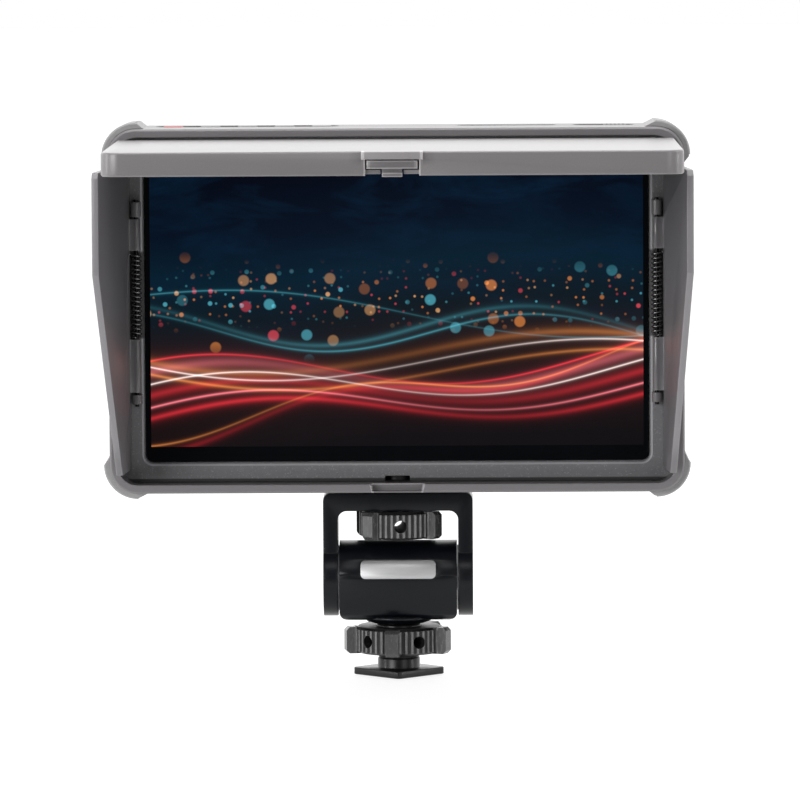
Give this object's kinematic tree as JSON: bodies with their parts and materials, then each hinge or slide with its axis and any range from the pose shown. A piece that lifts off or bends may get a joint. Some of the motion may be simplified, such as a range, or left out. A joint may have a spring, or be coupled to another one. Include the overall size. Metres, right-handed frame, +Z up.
{
  "type": "camera field monitor",
  "caption": "Camera-top field monitor with a hinged hood lid, spring-loaded side flaps and a tilting, panning accessory-shoe mount.",
  "frame": {"origin": "centre of the underside of the square shoe foot", "axes": "+X to the right seen from in front of the screen, +Y away from the viewer (the screen faces -Y), +Z up along the post"},
  "size_m": [0.1578, 0.1207, 0.1507],
  "materials": {
    "shell_grey": "fine satin grey",
    "frame_grey": "fine matt grey",
    "bumper_grey": "matt grey",
    "mount_black": "satin black anodised look",
    "wheel_dark": "dark anodised",
    "steel": "turned",
    "badge": "brushed, bare",
    "rubber_black": "matt",
    "spring_black": "black oxide",
    "brass": "turned",
    "screen_glass": "coated cover glass",
    "panel": "display panel",
    "diffuser": "white",
    "board_green": "solder mask",
    "plastic_black": "matt",
    "heat_alu": "bare",
    "socket_metal": "plated",
    "key_red": "red",
    "key_grey": "grey"
  },
  "bodies": {
    "shoe": {"shoe_base": "wheel_dark", "pan_retaining_screw": "steel"},
    "clamp": {"clamp_washer": "plastic_black"},
    "lock_wheel": {"lower_lock_wheel": "wheel_dark"},
    "head": {"drum_housing": "mount_black", "badge_plate": "badge", "pan_bush": "diffuser", "tilt_shoulder_screws": "steel", "tilt_spring_washers": "steel"},
    "yoke": {"yoke_bracket": "mount_black", "yoke_friction_washers": "diffuser", "rubber_pad": "rubber_black"},
    "camera_wheel": {"upper_thumbwheel": "wheel_dark", "camera_screw": "steel"},
    "monitor": {"front_frame": "frame_grey", "rear_shell": "bumper_grey", "thread_insert": "brass", "cover_glass": "screen_glass", "lcd_panel": "panel", "backlight_unit": "diffuser", "heat_spreader": "heat_alu", "main_board": "board_green", "keypad_board": "board_green", "hdmi_sockets": "socket_metal", "usb_socket": "socket_metal", "headphone_socket": "plastic_black", "speaker": "plastic_black", "fan_housing": "plastic_black", "battery_plate": "plastic_black", "battery_contacts": "brass", "plate_screws": "steel", "case_screws": "steel", "board_screws": "steel", "lid_hinge_pins": "steel", "flap_hinge_pins": "steel"},
    "lid": {"hood_lid": "shell_grey", "latch_spring": "steel", "latch_keeper": "plastic_black"},
    "latch": {"lid_latch": "frame_grey"},
    "flap_left": {"left_flap": "shell_grey", "left_flap_spring": "spring_black"},
    "flap_right": {"right_flap": "shell_grey", "right_flap_spring": "spring_black"},
    "fan": {"fan_rotor": "plastic_black"},
    "release": {"battery_release": "plastic_black"},
    "key_power": {"power_button": "key_red"},
    "key_input": {"input_button": "key_grey"},
    "key_left": {"left_button": "key_grey"},
    "key_right": {"right_button": "key_grey"},
    "key_menu": {"menu_button": "key_grey"},
    "slider": {"lock_slider": "key_grey"}
  },
  "joints": [
    {"name": "head_pan", "type": "hinge", "parent": "shoe", "child": "head", "pos_m": [0, 0, 0.018], "axis": [0, 0, 1], "continuous": true},
    {"name": "clamp_slide", "type": "slide", "parent": "shoe", "child": "clamp", "axis": [0, 0, -1], "range_m": [0, 0.0026]},
    {"name": "lock_wheel_turn", "type": "hinge", "parent": "clamp", "child": "lock_wheel", "pos_m": [0, 0, 0.01], "axis": [0, 0, -1], "range_deg": [0, 720]},
    {"name": "yoke_tilt", "type": "hinge", "parent": "head", "child": "yoke", "pos_m": [0, 0, 0.0263], "axis": [1, 0, 0], "range_deg": [-90, 90]},
    {"name": "camera_wheel_turn", "type": "hinge", "parent": "yoke", "child": "camera_wheel", "pos_m": [0, 0, 0.0415], "axis": [0, 0, 1], "continuous": true},
    {"name": "monitor_swivel", "type": "hinge", "parent": "yoke", "child": "monitor", "pos_m": [0, 0, 0.052], "axis": [0, 0, 1], "continuous": true},
    {"name": "lid_hinge", "type": "hinge", "parent": "monitor", "child": "lid", "pos_m": [0, -0.0154, 0.14317], "axis": [-1, 0, 0], "range_deg": [0, 10]},
    {"name": "latch_slide", "type": "slide", "parent": "lid", "child": "latch", "axis": [0, 1, -0.0087], "range_m": [0, 0.0012], "stiffness_N_per_m": 300, "springref_m": -0.001, "deforming": ["latch_spring"]},
    {"name": "left_flap_hinge", "type": "hinge", "parent": "monitor", "child": "flap_left", "pos_m": [-0.07, -0.0102, 0.1], "axis": [0, 0, 1], "range_deg": [0, 93], "stiffness_Nm_per_rad": 0.004, "springref_deg": -34.38},
    {"name": "right_flap_hinge", "type": "hinge", "parent": "monitor", "child": "flap_right", "pos_m": [0.07, -0.0102, 0.1], "axis": [0, 0, -1], "range_deg": [0, 92.4], "stiffness_Nm_per_rad": 0.004, "springref_deg": -34.38},
    {"name": "fan_spin", "type": "hinge", "parent": "monitor", "child": "fan", "pos_m": [0.048, 0.004, 0.1122], "axis": [0, 1, 0], "continuous": true},
    {"name": "battery_release_press", "type": "slide", "parent": "monitor", "child": "release", "axis": [0, -1, 0], "range_m": [0, 0.0013], "stiffness_N_per_m": 800, "springref_m": -0.0005},
    {"name": "power_press", "type": "slide", "parent": "monitor", "child": "key_power", "axis": [0, 0, -1], "range_m": [0, 0.0005], "stiffness_N_per_m": 1500, "springref_m": -0.0003},
    {"name": "input_press", "type": "slide", "parent": "monitor", "child": "key_input", "axis": [0, 0, -1], "range_m": [0, 0.0005], "stiffness_N_per_m": 1500, "springref_m": -0.0003},
    {"name": "left_press", "type": "slide", "parent": "monitor", "child": "key_left", "axis": [0, 0, -1], "range_m": [0, 0.0005], "stiffness_N_per_m": 1500, "springref_m": -0.0003},
    {"name": "right_press", "type": "slide", "parent": "monitor", "child": "key_right", "axis": [0, 0, -1], "range_m": [0, 0.0005], "stiffness_N_per_m": 1500, "springref_m": -0.0003},
    {"name": "menu_press", "type": "slide", "parent": "monitor", "child": "key_menu", "axis": [0, 0, -1], "range_m": [0, 0.0005], "stiffness_N_per_m": 1500, "springref_m": -0.0003},
    {"name": "lock_slide", "type": "slide", "parent": "monitor", "child": "slider", "axis": [-1, 0, 0], "range_m": [0, 0.0048]}
  ],
  "couplings": [
    {"joint": "clamp_slide", "follows": "lock_wheel_turn", "m_per_rad": 0.00019894}
  ]
}
